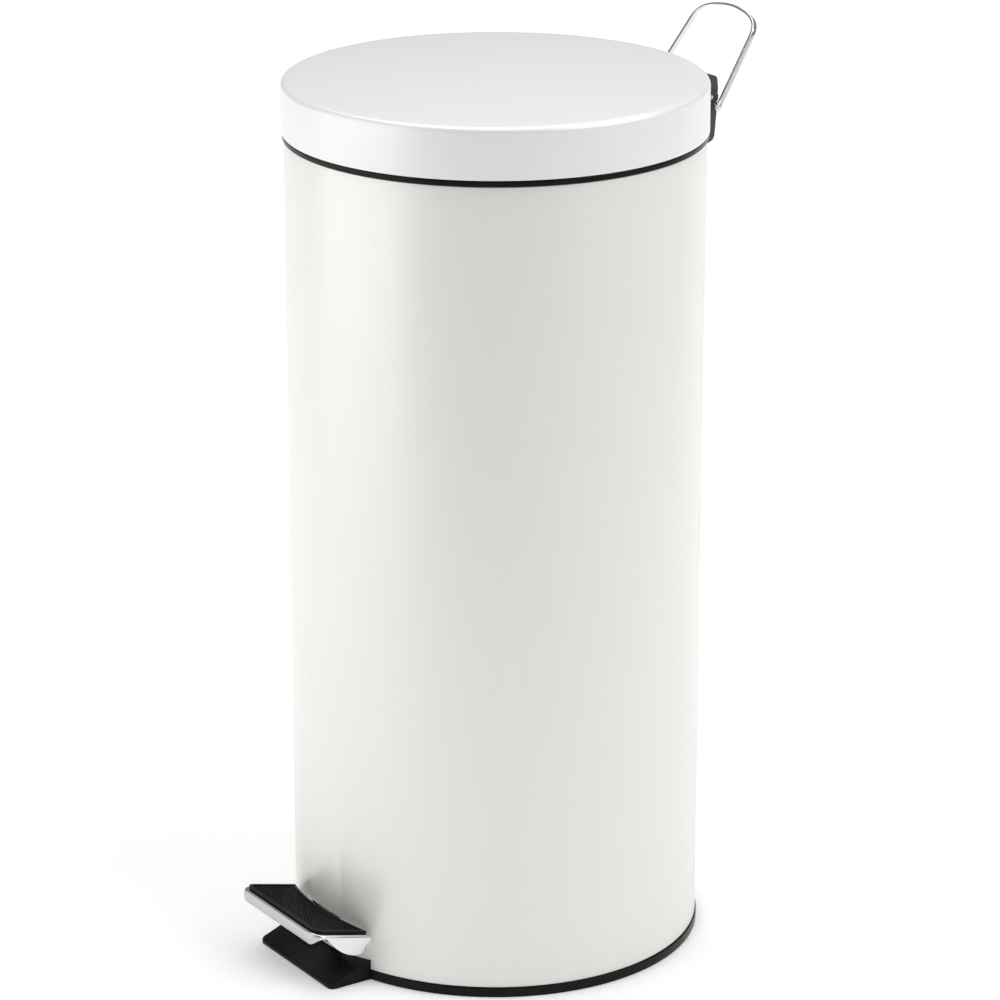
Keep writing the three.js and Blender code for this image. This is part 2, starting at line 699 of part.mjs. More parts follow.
add("carry_handle", carryHandle(), "chrome");
add("inner_bucket", innerBucket(), "grey");
add("bucket_bail", bucketBail(), "steel");
add("bail_grip", bailGrip(), "grey");

export default can;
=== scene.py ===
import json
import math

import bmesh
import bpy
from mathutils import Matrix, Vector


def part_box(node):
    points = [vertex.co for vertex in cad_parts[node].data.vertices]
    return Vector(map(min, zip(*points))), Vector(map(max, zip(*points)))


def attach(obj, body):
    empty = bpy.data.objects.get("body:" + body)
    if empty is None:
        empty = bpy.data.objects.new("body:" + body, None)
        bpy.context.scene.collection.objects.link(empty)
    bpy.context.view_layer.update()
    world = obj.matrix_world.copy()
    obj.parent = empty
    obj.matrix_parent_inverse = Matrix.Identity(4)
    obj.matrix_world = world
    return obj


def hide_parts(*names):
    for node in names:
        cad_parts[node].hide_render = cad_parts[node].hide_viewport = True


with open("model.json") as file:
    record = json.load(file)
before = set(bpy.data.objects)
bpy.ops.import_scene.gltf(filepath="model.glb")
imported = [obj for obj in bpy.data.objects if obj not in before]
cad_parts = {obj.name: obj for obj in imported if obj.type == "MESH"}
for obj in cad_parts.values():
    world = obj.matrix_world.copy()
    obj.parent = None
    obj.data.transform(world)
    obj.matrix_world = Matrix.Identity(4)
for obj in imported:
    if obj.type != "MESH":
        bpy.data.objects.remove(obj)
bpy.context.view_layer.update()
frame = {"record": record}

# Outlines are written in millimetres, and make() turns them into metres.
MM = 0.001
RECORD = frame["record"]
BODY_OF = {node: body for body, nodes in RECORD["behaviour"]["bodies"].items() for node in nodes}


def low(node, axis):
    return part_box(node)[0]["xyz".index(axis)] / MM


def high(node, axis):
    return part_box(node)[1]["xyz".index(axis)] / MM


def middle(node, axis):
    return (low(node, axis) + high(node, axis)) / 2


# Driving places, read from the frame.
SHELL_R = high("body_shell", "x")
SHELL_LOW = low("body_shell", "z")
SHELL_TOP = high("body_shell", "z")
SHEET = 0.8  # steel of the shell and the lid
GAP = 0.3  # clearance between neighbouring parts
BASE_R = high("base", "x")
BASE_TOP = SHELL_LOW - GAP
RIM_R = high("rim_ring", "x")
LID_R = high("lid_shell", "x")
LID_LOW = low("lid_shell", "z")
LID_TOP = high("lid_shell", "z")
LID_RISE = 6.4
RIM_TOP = LID_LOW - GAP
HINGE = (middle("hinge_pin", "y"), middle("hinge_pin", "z"))
PIVOT = (middle("pedal_pivot_pin", "y"), middle("pedal_pivot_pin", "z"))
BLOCK_HALF = high("lid_hinge_block", "x")
KNUCKLE_R = 5.2
KNUCKLE_HALF = 20.5
ROD_R = 2.0
ROD_X = high("push_rod", "x") - ROD_R
EYE = (middle("push_rod", "y"), high("push_rod", "z") - ROD_R)
FOOT_Z = low("push_rod", "z") + ROD_R
HEAD_HALF = high("pedal_head", "x")
HEAD_FRONT = (low("pedal_head", "y") + 0.3, 46.4)
HEAD_SLOPE = math.tan(math.radians(14))
TOE_HALF = 48.4
TOE_FRONT = low("base", "y")
SCREW_X = 17.0
SCREW_HOLE_R = 2.2
PIN_HOLE_R = 2.8
LEVER_SLOT_HALF = 19.5
LEVER_HALF = 15.5
BEARING_X = 20.5
RIVET_X = 9.0
PEDAL_SHEET = 1.5
PEDAL_ROLL = 2.2  # outer radius of the pedal's bent edges
PEDAL_BACK_R = 147.6
LID_SCREW_Z = middle("lid_screw_left", "z")
BLOCK_SCREW_Z = middle("hinge_block_screw_left", "z")
BUCKET_LOW = low("inner_bucket", "z")
BUCKET_TOP = 580.3
BUCKET_R = 119.0
BAIL_R = 122.5
BAIL_Z = 584.0
HANDLE = (159.2, 587.0)
HANDLE_LEAN = math.radians(55)

scene = bpy.context.scene
scene.view_settings.view_transform = "Standard"


# ---- Camera, floor and light ----


def ramp(tree, source, near, far, first, last):
    """Maps a value between two limits to a value between two others."""
    node = tree.nodes.new("ShaderNodeMapRange")
    node.inputs["From Min"].default_value = near
    node.inputs["From Max"].default_value = far
    node.inputs["To Min"].default_value = first
    node.inputs["To Max"].default_value = last
    tree.links.new(source, node.inputs["Value"])
    return node.outputs["Result"]


def aim_at(obj, place, target):
    obj.location = place
    obj.rotation_mode = "QUATERNION"
    obj.rotation_quaternion = (Vector(target) - Vector(place)).to_track_quat("-Z", "Y")
    scene.collection.objects.link(obj)


def camera():
    data = bpy.data.cameras.new("camera")
    data.lens = 150.2
    data.sensor_width = 36
    data.shift_x = 0.0046
    obj = bpy.data.objects.new("camera", data)
    aim_at(obj, (2.3212, -1.5364, 1.2636), (0, 0, 0.3163))
    scene.camera = obj


def around(degrees, distance, height):
    """A place round the can: 0 degrees is the camera's side and 90 is its right."""
    angle = math.radians(degrees)
    front = Vector((0.834, -0.552, 0))
    right = Vector((0.552, 0.834, 0))
    flat = front * math.cos(angle) + right * math.sin(angle)
    return flat * distance + Vector((0, 0, height))


def area(name, place, target, size, power):
    data = bpy.data.lights.new(name, "AREA")
    data.shape = "RECTANGLE"
    data.size, data.size_y = size
    data.energy = power
    aim_at(bpy.data.objects.new(name, data), place, target)


def studio():
    area("left_light", around(-74, 2.2, 0.95), (0, 0, 0.3), (2.6, 1.8), 20)
    area("right_light", around(68, 2.1, 1.9), (0, 0, 0.55), (2.2, 1.7), 31)
    area("top_light", around(180, 0.4, 2.5), (0, 0, 0.3), (2.2, 2.2), 36)
    world = bpy.data.worlds.new("world")
    scene.world = world
    world.use_nodes = True
    sky = world.node_tree.nodes["Background"]
    sky.inputs["Color"].default_value = (1, 1, 1, 1)
    sky.inputs["Strength"].default_value = 0.24


def floor_glow(tree, shader):
    """The floor glows more with distance from the can, and is dim just in front of it."""
    coord = tree.nodes.new("ShaderNodeTexCoord").outputs["Object"]
    length = tree.nodes.new("ShaderNodeVectorMath")
    length.operation = "LENGTH"
    tree.links.new(coord, length.inputs[0])
    ahead = tree.nodes.new("ShaderNodeVectorMath")
    ahead.operation = "DOT_PRODUCT"
    ahead.inputs[1].default_value = around(36, 1.0, 0.0)
    tree.links.new(coord, ahead.inputs[0])
    dim = tree.nodes.new("ShaderNodeMath")
    dim.operation = "MAXIMUM"
    tree.links.new(ramp(tree, ahead.outputs["Value"], 0.05, 0.7, 1.0, 0.0), dim.inputs[0])
    tree.links.new(ramp(tree, length.outputs["Value"], 1.5, 4.0, 0.0, 0.7), dim.inputs[1])
    glow = tree.nodes.new("ShaderNodeMath")
    glow.operation = "MULTIPLY"
    tree.links.new(ramp(tree, length.outputs["Value"], 0.3, 3.0, 0.2, 0.68), glow.inputs[0])
    tree.links.new(dim.outputs["Value"], glow.inputs[1])
    tree.links.new(glow.outputs["Value"], shader.inputs["Emission Strength"])


def floor():
    half = 30.0
    corners = [(-half, -half, 0), (half, -half, 0), (half, half, 0), (-half, half, 0)]
    mesh = bpy.data.meshes.new("floor")
    mesh.from_pydata(corners, [], [(0, 1, 2, 3)])
    obj = bpy.data.objects.new("floor", mesh)
    scene.collection.objects.link(obj)
    mat = bpy.data.materials.new("floor_white")
    mat.use_nodes = True
    shader = mat.node_tree.nodes["Principled BSDF"]
    shader.inputs["Base Color"].default_value = (0.95, 0.95, 0.95, 1)
    shader.inputs["Roughness"].default_value = 0.9
    shader.inputs["Emission Color"].default_value = (1, 1, 1, 1)
    floor_glow(mat.node_tree, shader)
    mesh.materials.append(mat)


# ---- Materials ----


def new_material(name, color, rough, metal=0.0):
    mat = bpy.data.materials.new(name)
    mat.use_nodes = True
    shader = mat.node_tree.nodes["Principled BSDF"]
    shader.inputs["Base Color"].default_value = (*color, 1)
    shader.inputs["Roughness"].default_value = rough
    shader.inputs["Metallic"].default_value = metal
    return mat, mat.node_tree, shader


def noise(tree, stretch, detail=3.0):
    """Noise in the object's own metres. A small stretch along an axis makes streaks along it."""
    coord = tree.nodes.new("ShaderNodeTexCoord")
    mapping = tree.nodes.new("ShaderNodeMapping")
    mapping.inputs["Scale"].default_value = stretch
    texture = tree.nodes.new("ShaderNodeTexNoise")
    texture.inputs["Scale"].default_value = 1.0
    texture.inputs["Detail"].default_value = detail
    tree.links.new(coord.outputs["Object"], mapping.inputs["Vector"])
    tree.links.new(mapping.outputs["Vector"], texture.inputs["Vector"])
    return texture.outputs["Fac"]


def spread(tree, source, start, end):
    """Maps noise, which lies mostly between 0.3 and 0.7, to a range."""
    return ramp(tree, source, 0.3, 0.7, start, end)


def tint(tree, source, first, second):
    node = tree.nodes.new("ShaderNodeMix")
    node.data_type = "RGBA"
    node.inputs["A"].default_value = (*first, 1)
    node.inputs["B"].default_value = (*second, 1)
    tree.links.new(spread(tree, source, 0.0, 1.0), node.inputs["Factor"])
    return node.outputs["Result"]


def times(tree, color, source, start, end):
    """Shades a colour by noise, from one factor to another."""
    node = tree.nodes.new("ShaderNodeMix")
    node.data_type = "RGBA"
    node.blend_type = "MULTIPLY"
    node.inputs["Factor"].default_value = 1.0
    tree.links.new(color, node.inputs["A"])
    tree.links.new(spread(tree, source, start, end), node.inputs["B"])
    return node.outputs["Result"]


def relief(tree, shader, source, depth, strength=1.0):
    node = tree.nodes.new("ShaderNodeBump")
    node.inputs["Strength"].default_value = strength
    node.inputs["Distance"].default_value = depth
    tree.links.new(source, node.inputs["Height"])
    tree.links.new(node.outputs["Normal"], shader.inputs["Normal"])


def lacquer(name, warm, cool, streak):
    """Off-white pearl lacquer over brushed steel, whose streaks run up the can."""
    rough = 0.38
    mat, tree, shader = new_material(name, warm, rough, 0.18)
    shader.inputs["Coat Weight"].default_value = 0.18
    shader.inputs["Coat Roughness"].default_value = 0.06
    fine = noise(tree, (1500, 1500, 5))
    broad = noise(tree, (220, 220, 1.5))
    cloud = noise(tree, (6, 6, 3))
    color = tint(tree, cloud, warm, cool)
    color = times(tree, color, fine, 1 - streak, 1 + streak)
    color = times(tree, color, broad, 1 - streak / 2, 1 + streak / 2)
    tree.links.new(color, shader.inputs["Base Color"])
    sheen = spread(tree, fine, rough - 2 * streak, rough + 2 * streak)
    tree.links.new(sheen, shader.inputs["Roughness"])
    relief(tree, shader, fine, 0.00002, 10 * streak)
    return mat


def moulded(name, dark, light, rough, gloss, grain=2600):
    """Moulded plastic with a fine eroded grain."""
    mat, tree, shader = new_material(name, light, rough)
    shader.inputs["Specular IOR Level"].default_value = gloss
    fine = noise(tree, (grain, grain, grain), 2.0)
    cloud = noise(tree, (40, 40, 40))
    tree.links.new(tint(tree, cloud, dark, light), shader.inputs["Base Color"])
    tree.links.new(spread(tree, cloud, rough - 0.05, rough + 0.05), shader.inputs["Roughness"])
    relief(tree, shader, fine, 0.00004, 0.35)
    return mat


def rubber():
    """Black rubber with a fine grain and uneven gloss."""
    mat, tree, shader = new_material("rubber_black", (0.006, 0.006, 0.006), 0.36)
    shader.inputs["Specular IOR Level"].default_value = 0.15
    fine = noise(tree, (1800, 1800, 1800))
    dust = noise(tree, (90, 90, 90), 5.0)
    color = tint(tree, dust, (0.004, 0.004, 0.004), (0.009, 0.009, 0.009))
    tree.links.new(color, shader.inputs["Base Color"])
    tree.links.new(spread(tree, dust, 0.28, 0.42), shader.inputs["Roughness"])
    relief(tree, shader, fine, 0.00005, 0.4)
    return mat


def chrome(name, level):
    """Polished chrome with a faint haze and wiping marks."""
    mat, tree, shader = new_material(name, (level, level, level), 0.07, 1.0)
    haze = noise(tree, (60, 60, 60), 4.0)
    wipe = noise(tree, (2200, 300, 300))
    color = tint(tree, haze, (level - 0.02, level - 0.015, level - 0.01), (level + 0.02,) * 3)
    tree.links.new(color, shader.inputs["Base Color"])
    tree.links.new(spread(tree, haze, 0.05, 0.11), shader.inputs["Roughness"])
    relief(tree, shader, wipe, 0.000004, 0.2)
    return mat


def brushed():
    """Chrome over brushed steel, whose lines run along the pedal's front lip."""
    mat, tree, shader = new_material("chrome_brushed", (0.8, 0.8, 0.8), 0.34, 1.0)
    lines = noise(tree, (30, 2600, 2600))
    color = tint(tree, lines, (0.46, 0.46, 0.46), (0.66, 0.66, 0.66))
    tree.links.new(color, shader.inputs["Base Color"])
    tree.links.new(spread(tree, lines, 0.26, 0.42), shader.inputs["Roughness"])
    relief(tree, shader, lines, 0.00003, 0.5)
    return mat


def plated():
    """Zinc-plated steel, with the plating's faint grain and stains."""
    mat, tree, shader = new_material("steel_plated", (0.6, 0.6, 0.6), 0.32, 1.0)
    grain = noise(tree, (700, 700, 700), 4.0)
    stain = noise(tree, (45, 45, 45), 4.0)
    color = tint(tree, stain, (0.55, 0.56, 0.575), (0.66, 0.655, 0.63))
    tree.links.new(times(tree, color, grain, 0.93, 1.05), shader.inputs["Base Color"])
    tree.links.new(spread(tree, grain, 0.26, 0.42), shader.inputs["Roughness"])
    relief(tree, shader, grain, 0.00002, 0.4)
    return mat


# ---- Mesh tools ----


def make(name, verts, faces):
    """An object from vertices in millimetres, with doubles merged and faces turned outwards."""
    mesh = bpy.data.meshes.new(name)
    mesh.from_pydata([Vector(v) * MM for v in verts], [], faces)
    work = bmesh.new()
    work.from_mesh(mesh)
    bmesh.ops.remove_doubles(work, verts=work.verts, dist=1e-7)
    bmesh.ops.recalc_face_normals(work, faces=work.faces)
    work.to_mesh(mesh)
    work.free()
    obj = bpy.data.objects.new(name, mesh)
    scene.collection.objects.link(obj)
    return obj


def settle(obj):
    """Makes the object's modifiers part of its mesh."""
    graph = bpy.context.evaluated_depsgraph_get()
    mesh = bpy.data.meshes.new_from_object(obj.evaluated_get(graph))
    obj.modifiers.clear()
    obj.data = mesh
    return obj


def combine(obj, others, how="DIFFERENCE"):
    """Cuts other objects out of one, or joins or intersects them with it."""
    for other in others:
        modifier = obj.modifiers.new("boolean", "BOOLEAN")
        modifier.operation = how
        modifier.object = other
        modifier.solver = "EXACT"
        settle(obj)
        bpy.data.objects.remove(other)
    return obj


def bevel(obj, width, segments=3, angle=30):
    modifier = obj.modifiers.new("bevel", "BEVEL")
    modifier.width = width * MM
    modifier.segments = segments
    modifier.limit_method = "ANGLE"
    modifier.angle_limit = math.radians(angle)
    return settle(obj)


def rounded(corners, radius=0.0, steps=6, loop=True):
    """An outline whose corners (a, b) or (a, b, own radius) are rounded by arcs."""
    points = []
    count = len(corners)
    for i, (a, b, *own) in enumerate(corners):
        size = own[0] if own else radius
        here = Vector((a, b))
        at_end = not loop and i in (0, count - 1)
        if size == 0 or at_end:
            points.append(here)
            continue
        back = Vector(corners[i - 1][:2]) - here
        ahead = Vector(corners[(i + 1) % count][:2]) - here
        half = back.angle(ahead) / 2
        reach = min(size / math.tan(half), 0.48 * back.length, 0.48 * ahead.length)
        size = reach * math.tan(half)
        toward = (back.normalized() + ahead.normalized()).normalized()
        centre = here + toward * size / math.sin(half)
        first = here + back.normalized() * reach - centre
        last = here + ahead.normalized() * reach - centre
        start = math.atan2(first.y, first.x)
        sweep_angle = math.remainder(math.atan2(last.y, last.x) - start, math.tau)
        for k in range(steps + 1):
            angle = start + sweep_angle * k / steps
            points.append(centre + Vector((math.cos(angle), math.sin(angle))) * size)
    return points


def lathe(name, profile, steps=192, loop=True):
    """A profile of (radius, height) turned about the can's axis."""
    verts = []
    faces = []
    count = len(profile)
    for i in range(steps):
        angle = math.tau * i / steps
        verts += [(r * math.cos(angle), r * math.sin(angle), z) for r, z in profile]
        ahead = (i + 1) % steps * count
        here = i * count
        for k in range(count if loop else count - 1):
            after = (k + 1) % count
            faces.append((here + k, ahead + k, ahead + after, here + after))
    return make(name, verts, faces)


def prism(name, outline, start, end, axis="X"):
    """An outline carried along an axis. It holds (y, z) for X, (x, z) for Y and (x, y) for Z."""
    place = {
        "X": lambda a, b, t: (t, a, b),
        "Y": lambda a, b, t: (a, t, b),
        "Z": lambda a, b, t: (a, b, t),
    }[axis]
    count = len(outline)
    verts = [place(a, b, t) for t in (start, end) for a, b in outline]
    faces = [tuple(range(count)), tuple(range(count, 2 * count))]
    for k in range(count):
        after = (k + 1) % count
        faces.append((k, after, count + after, count + k))
    return make(name, verts, faces)


def circle(radius, a=0.0, b=0.0, steps=32):
    turns = [math.tau * k / steps for k in range(steps)]
    return [(a + radius * math.cos(t), b + radius * math.sin(t)) for t in turns]


def block(x0, x1, y0, y1, z0, z1):
    return prism("block", [(y0, z0), (y1, z0), (y1, z1), (y0, z1)], x0, x1)


def drill(radius, start, end, place, axis="X"):
    return prism("drill", circle(radius, *place), start, end, axis)


def spindle(name, profile, place, axis="X", steps=40, loop=False):
    """A profile of (radius, height along the axis) turned about an axis through a place."""
    obj = lathe(name, profile, steps, loop)
    a, b = place
    for vertex in obj.data.vertices:
        x, y, z = vertex.co
        across = {"X": (z, x + a * MM, y + b * MM), "Y": (x + a * MM, z, y + b * MM)}
        vertex.co = across.get(axis, (x + a * MM, y + b * MM, z))
    work = bmesh.new()
    work.from_mesh(obj.data)
    bmesh.ops.recalc_face_normals(work, faces=work.faces)
    work.to_mesh(obj.data)
    work.free()
    return obj


def pin_profile(radius, start, end, chamfer=0.4):
    """A round pin with chamfered ends."""
    return [(0, start), (radius - chamfer, start), (radius, start + chamfer),
            (radius, end - chamfer), (radius - chamfer, end), (0, end)]


def sweep(name, path, section, side):
    """A section (a in the path's plane, b along side) carried along a flat path."""
    side = Vector(side).normalized()
    path = [Vector(p) for p in path]
    count = len(section)
    verts = []
    faces = []
    for i, point in enumerate(path):
        along = (path[min(i + 1, len(path) - 1)] - path[max(i - 1, 0)]).normalized()
        across = side.cross(along)
        verts += [point + across * a + side * b for a, b in section]
        if i == 0:
            continue
        here = i * count
        before = here - count
        for k in range(count):
            after = (k + 1) % count
            faces.append((before + k, before + after, here + after, here + k))
    faces.append(tuple(range(count)))
    faces.append(tuple(range(len(verts) - count, len(verts))))
    return make(name, verts, faces)


def piece(obj, node, material, angle=35):
    """Finishes a piece: smooth faces, its material, the node it stands for and its body."""
    mesh = obj.data
    mesh.polygons.foreach_set("use_smooth", [True] * len(mesh.polygons))
    mesh.set_sharp_from_angle(angle=math.radians(angle))
    mesh.materials.clear()
    mesh.materials.append(material)
    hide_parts(node)
    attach(obj, BODY_OF[node])
    return obj


# ---- Shell, base and rim ----


def back_holes(z, end=150.0):
    """Holes for the two screws that go in from the can's inside."""
    return [drill(SCREW_HOLE_R, 130, end, (x, z), "Y") for x in (-SCREW_X, SCREW_X)]


def shell(mat):
    """The steel tube, with a slot in front for the lever and screw holes at the back."""
    inner = SHELL_R - SHEET
    wall = rounded(
        [(inner, SHELL_LOW), (SHELL_R, SHELL_LOW), (SHELL_R, SHELL_TOP), (inner, SHELL_TOP)],
        0.35, 3,
    )
    obj = lathe("shell_tube", wall, 256)
    half = LEVER_SLOT_HALF
    plan = rounded([(-half, 13), (half, 13), (half, 38), (-half, 38)], 3.0)
    slot = prism("slot", plan, -SHELL_R - 5, -SHELL_R + 20, "Y")
    combine(obj, [slot, *back_holes(BLOCK_SCREW_Z)])
    piece(obj, "body_shell", mat)


def toe_plate():
    """The wedge in front of the can, with round corners and soft edges."""
    side = rounded(
        [(TOE_FRONT, 0), (-130, 0), (-130, 16.5), (-140, 14, 6), (TOE_FRONT + 1, 2.9, 1),
         (TOE_FRONT, 2.2, 0.5)],
        0, 4,
    )
    plan = rounded(
        [(-TOE_HALF, -125), (-TOE_HALF, TOE_FRONT, 4), (TOE_HALF, TOE_FRONT, 4),
         (TOE_HALF, -125)],
        0, 10,
    )
    obj = prism("toe_plate", side, -TOE_HALF - 1, TOE_HALF + 1)
    combine(obj, [prism("plan", plan, -1, 20, "Z")], "INTERSECT")
    bevel(obj, 0.5, 3, 40)
    room = [(0, 1), (140, 1), (140, BASE_TOP - 0.5), (SHELL_R + GAP, BASE_TOP - 0.5),
            (SHELL_R + GAP, 30), (0, 30)]
    return combine(obj, [lathe("room", room, 192, loop=False)])


def bearing(x):
    """One upright for the lever's pin, with a foot on each side."""
    y, z = PIVOT
    side = rounded(
        [(y - 13, 2), (y + 13, 2), (y + 7, z - 3, 4), (y + 6.5, z + 6.8, 6), (y - 6.5, z + 6.8, 6),
         (y - 7, z - 3, 4)]
    )
    obj = prism("bearing", side, x - 2.5, x + 2.5)
    bevel(obj, 0.4, 2, 40)
    return combine(obj, [drill(PIN_HOLE_R, x - 4, x + 4, PIVOT)])


def base(mat, feet):
    """The moulded base: skirt, floor, spigot, toe plate, bearings and ribs underneath."""
    spigot = SHELL_R - SHEET - GAP
    profile = rounded(
        [(0, 0), (BASE_R, 0, 0.9), (BASE_R, BASE_TOP, 0.8), (SHELL_R - 0.6, BASE_TOP, 0.2),
         (SHELL_R - 0.6, BASE_TOP - 0.5), (spigot, BASE_TOP - 0.5), (spigot, 22, 0.5),
         (spigot - 1.9, 22, 0.5), (spigot - 1.9, 3, 2), (0, 3)],
        0, 5, loop=False,
    )
    obj = lathe("base_moulding", profile, 192, loop=False)
    combine(obj, [toe_plate(), bearing(-BEARING_X), bearing(BEARING_X)], "UNION")
    rooms = [block(-LEVER_SLOT_HALF, LEVER_SLOT_HALF, -150, -120, 12, 30)]
    rooms += [drill(9.3, -1, 1.5, spot, "Z") for spot in feet]
    rooms += [pocket(degrees) for degrees in range(0, 360, 30)]
    dimple = rounded([(0, -1), (22, -1), (20.8, 1.2, 0.6), (0, 1.2)], loop=False)
    rooms.append(lathe("dimple", dimple, 64, loop=False))
    combine(obj, rooms)
    piece(obj, "base", mat)


def pocket(degrees):
    """A shallow recess under the floor, which leaves a rib on each side of it."""
    turn = math.radians(degrees)
    reach = math.radians(13.4)
    corners = [(28, -reach * 0.82), (104, -reach), (104, reach), (28, reach * 0.82)]
    plan = []
    for (r0, a0), (r1, a1) in zip(corners, corners[1:] + corners[:1]):
        for k in range(6):
            share = k / 6
            r = r0 + (r1 - r0) * share
            a = turn + a0 + (a1 - a0) * share
            plan.append((r * math.cos(a), r * math.sin(a)))
    return prism("pocket", plan, -1, 1.2, "Z")


def foot(name, node, spot, mat):
    """A rubber foot with a dished sole, let into the base."""
    profile = rounded(
        [(0, 0), (3, 0), (3.4, 0.5), (4.6, 0.5), (5, 0), (9, 0, 0.5), (9, 1.2, 0.2), (0, 1.2)],
        0, 4, loop=False,
    )
    piece(spindle(name, profile, spot, "Z", 64), node, mat)


def rim(mat):
    """The ring that caps the shell, with the shelf that carries the bucket."""
    inner = SHELL_R - SHEET - GAP
    profile = rounded(
        [(120.5, 575.5, 0.8), (141.4, 575.5, 1.2), (141.4, 572, 0.5), (inner, 572, 0.5),
         (inner, SHELL_TOP + GAP, 0.2), (RIM_R, SHELL_TOP + GAP, 0.6), (RIM_R, RIM_TOP, 0.8),
         (142.5, RIM_TOP, 0.4), (142.5, RIM_TOP + 3, 0.6), (140, RIM_TOP + 3, 0.6), (140, 578, 1.2),
         (120.5, 578, 0.8)],
        0, 4,
    )
    obj = lathe("rim_moulding", profile, 256)
    collar_cut = block(-33, 33, 100, 160, RIM_TOP, RIM_TOP + 10)
    rod_cut = block(-13, 13, 126.5, 142.2, 560, RIM_TOP + 10)
    piece(combine(obj, [collar_cut, rod_cut]), "rim_ring", mat)


# ---- Lid ----


def crown(radius):
    """Height of the lid's top, which falls away from its middle."""
    return LID_TOP - LID_RISE * (radius / (LID_R - 4)) ** 2


def lid(mat):
    """A pressed steel lid: low crown, round edge, straight skirt and a hemmed lower edge."""
    edge = LID_R - SHEET
    outer = [(LID_R, crown(LID_R), 4.0)] + [(r, crown(r)) for r in range(132, -1, -12)]
    inner = [(r, crown(r) - SHEET) for r in range(0, 133, 12)] + [(edge, crown(edge) - SHEET, 3.2)]
    hem = [(edge, LID_LOW + 3, 0.2), (edge - 0.25, LID_LOW + 2.6, 0.2),
           (edge - 0.25, LID_LOW, 0.4), (LID_R, LID_LOW, 0.6)]
    profile = rounded(inner + hem + outer, 0, 10, loop=False)
    obj = lathe("lid_pressing", profile, 256, loop=False)
    piece(combine(obj, back_holes(LID_SCREW_Z)), "lid_shell", mat)


def lid_liner(mat):
    """The plastic ring inside the lid, whose lip closes on the rim."""
    outside = LID_R - SHEET - GAP
    profile = rounded(
        [(127, 598, 0.5), (128.6, 598, 0.5), (128.6, 602.2, 1), (137.2, 602.2, 1),
         (137.2, 590, 0.6), (139, 590, 0.6), (139, 602.2, 1), (outside, 602.2, 0.4),
         (outside, 604, 0.4), (127, 604, 0.8)],
        0, 4,
    )
    obj = lathe("lid_liner", profile, 256)
    rooms = [block(-31, 31, 133, 160, 580, 620), block(-13, 13, 110, 160, 580, 620)]
    piece(combine(obj, rooms), "lid_inner_ring", mat)


# ---- Hinge ----


def axle(name, node, radius, place, mat):
    """A plain steel pin along X, with chamfered ends."""
    end = high(node, "x")
    piece(spindle(name, pin_profile(radius, -end, end, 0.5), place), node, mat)


def can_space():
    """The room of the shell, rim and lid with clearance, cut out of both hinge blocks."""
    corners = [(0, 500), (SHELL_R + GAP, 500), (SHELL_R + GAP, SHELL_TOP - 0.6),
               (RIM_R + GAP, SHELL_TOP - 0.6), (RIM_R + GAP, RIM_TOP), (LID_R + GAP, RIM_TOP),
               (LID_R + GAP, 640), (0, 640)]
    return lathe("can_space", corners, 192, loop=False)


def upper_block(mat):
    """The hinge half on the lid, with the middle knuckle."""
    y, z = HINGE
    side = rounded(
        [(138, z + GAP), (y, z + GAP), (y + 4.9, z + 2.8, 1), (y + 5.2, z + 6, 1),
         (162.9, 605.6, 2), (161.8, 607.4, 2), (148.6, 611.8, 2), (138, 614)]
    )
    obj = bevel(prism("upper_hinge", side, -BLOCK_HALF, BLOCK_HALF), 0.7, 3, 40)
    for start, end in ((-BLOCK_HALF - 1, -KNUCKLE_HALF), (KNUCKLE_HALF, BLOCK_HALF + 1)):
        combine(obj, [drill(KNUCKLE_R + GAP, start, end, HINGE)])
    combine(obj, [drill(KNUCKLE_R, -KNUCKLE_HALF, KNUCKLE_HALF, HINGE)], "UNION")
    bore = drill(2.3, -BLOCK_HALF - 1, BLOCK_HALF + 1, HINGE)
    combine(obj, [can_space(), bore, *back_holes(LID_SCREW_Z, 157.5)])
    piece(obj, "lid_hinge_block", mat)


def lower_block(mat):
    """The hinge half on the shell, with the outer knuckles and the handle's sockets."""
    y, z = HINGE
    side = rounded(
        [(138, 559.6), (153.6, 559.6, 1.5), (159.4, 562.2, 2), (160.8, 565, 2), (162.7, 586, 1),
         (y + 4.4, z - 4.2, 0.5), (y + 3.7, z - 3.7, 0.3), (y, z - GAP), (138, z - GAP)]
    )
    half = KNUCKLE_HALF + GAP
    obj = bevel(prism("lower_hinge", side, -BLOCK_HALF, BLOCK_HALF), 0.7, 3, 40)
    combine(obj, [drill(KNUCKLE_R + 0.8, -half, half, HINGE)])
    for start, end in ((-BLOCK_HALF, -half), (half, BLOCK_HALF)):
        combine(obj, [drill(KNUCKLE_R, start, end, HINGE)], "UNION")
    holes = [drill(2.3, -BLOCK_HALF - 1, BLOCK_HALF + 1, HINGE)]
    holes += back_holes(BLOCK_SCREW_Z, 156.5)
    holes += [drill(2.05, x, x + 8, HANDLE) for x in (-BLOCK_HALF - 1, BLOCK_HALF - 7)]
    combine(obj, [can_space(), *holes])
    piece(obj, "body_hinge_block", mat)


